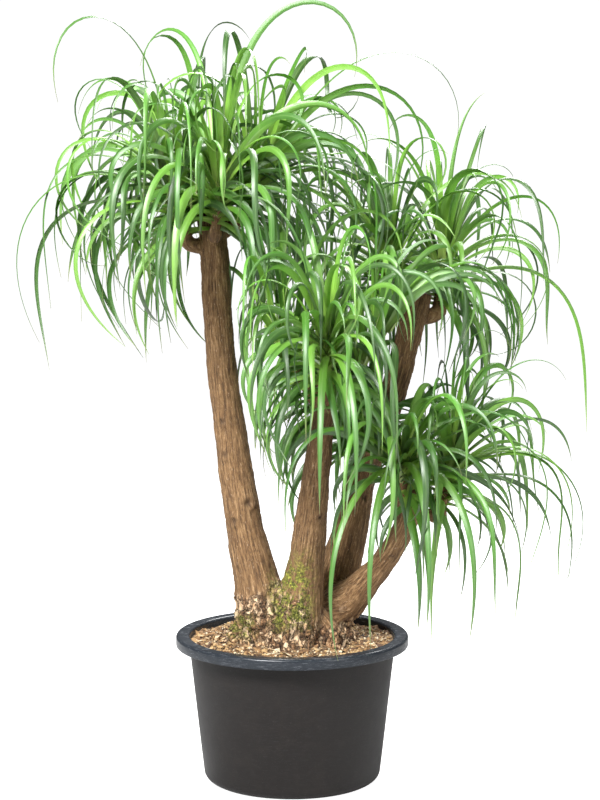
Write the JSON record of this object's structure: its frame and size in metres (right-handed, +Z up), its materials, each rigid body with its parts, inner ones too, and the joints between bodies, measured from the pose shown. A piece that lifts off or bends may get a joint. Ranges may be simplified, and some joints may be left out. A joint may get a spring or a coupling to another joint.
{
  "type": "potted ponytail palm",
  "caption": "Round tapered pot with a rolled rim holding soil and a swollen woody base whose leaning stems end in mops of long, arching strap leaves.",
  "frame": {"origin": "centre of the pot's flat underside, on the floor", "axes": "+Z up along the pot's axis, +X to the right of someone who faces the plant with its tallest stem on the left, +Y away from them"},
  "size_m": [0.9666, 0.8795, 1.2956],
  "materials": {
    "pot_plastic": "satin",
    "potting_soil": "matte",
    "bark": "matte",
    "leaf": "satin"
  },
  "bodies": {
    "root": {"middle_front_shoot_inner_leaves": "leaf", "middle_front_shoot_middle_leaves": "leaf", "middle_front_shoot_outer_leaves": "leaf", "middle_left_shoot_inner_leaves": "leaf", "middle_left_shoot_middle_leaves": "leaf", "middle_left_shoot_outer_leaves": "leaf", "middle_right_shoot_inner_leaves": "leaf", "middle_right_shoot_middle_leaves": "leaf", "middle_right_shoot_outer_leaves": "leaf", "pot": "pot_plastic", "rear_left_shoot_inner_leaves": "leaf", "rear_left_shoot_middle_leaves": "leaf", "rear_left_shoot_outer_leaves": "leaf", "rear_low_shoot_inner_leaves": "leaf", "rear_low_shoot_middle_leaves": "leaf", "rear_low_shoot_outer_leaves": "leaf", "rear_right_shoot_inner_leaves": "leaf", "rear_right_shoot_middle_leaves": "leaf", "rear_right_shoot_outer_leaves": "leaf", "right_front_shoot_inner_leaves": "leaf", "right_front_shoot_middle_leaves": "leaf", "right_front_shoot_outer_leaves": "leaf", "right_side_shoot_inner_leaves": "leaf", "right_side_shoot_middle_leaves": "leaf", "right_side_shoot_outer_leaves": "leaf", "soil": "potting_soil", "tall_back_shoot_inner_leaves": "leaf", "tall_back_shoot_middle_leaves": "leaf", "tall_back_shoot_outer_leaves": "leaf", "tall_front_shoot_inner_leaves": "leaf", "tall_front_shoot_middle_leaves": "leaf", "tall_front_shoot_outer_leaves": "leaf", "tall_left_shoot_inner_leaves": "leaf", "tall_left_shoot_middle_leaves": "leaf", "tall_left_shoot_outer_leaves": "leaf", "tall_right_shoot_inner_leaves": "leaf", "tall_right_shoot_middle_leaves": "leaf", "tall_right_shoot_outer_leaves": "leaf", "trunk": "bark"}
  },
  "joints": []
}
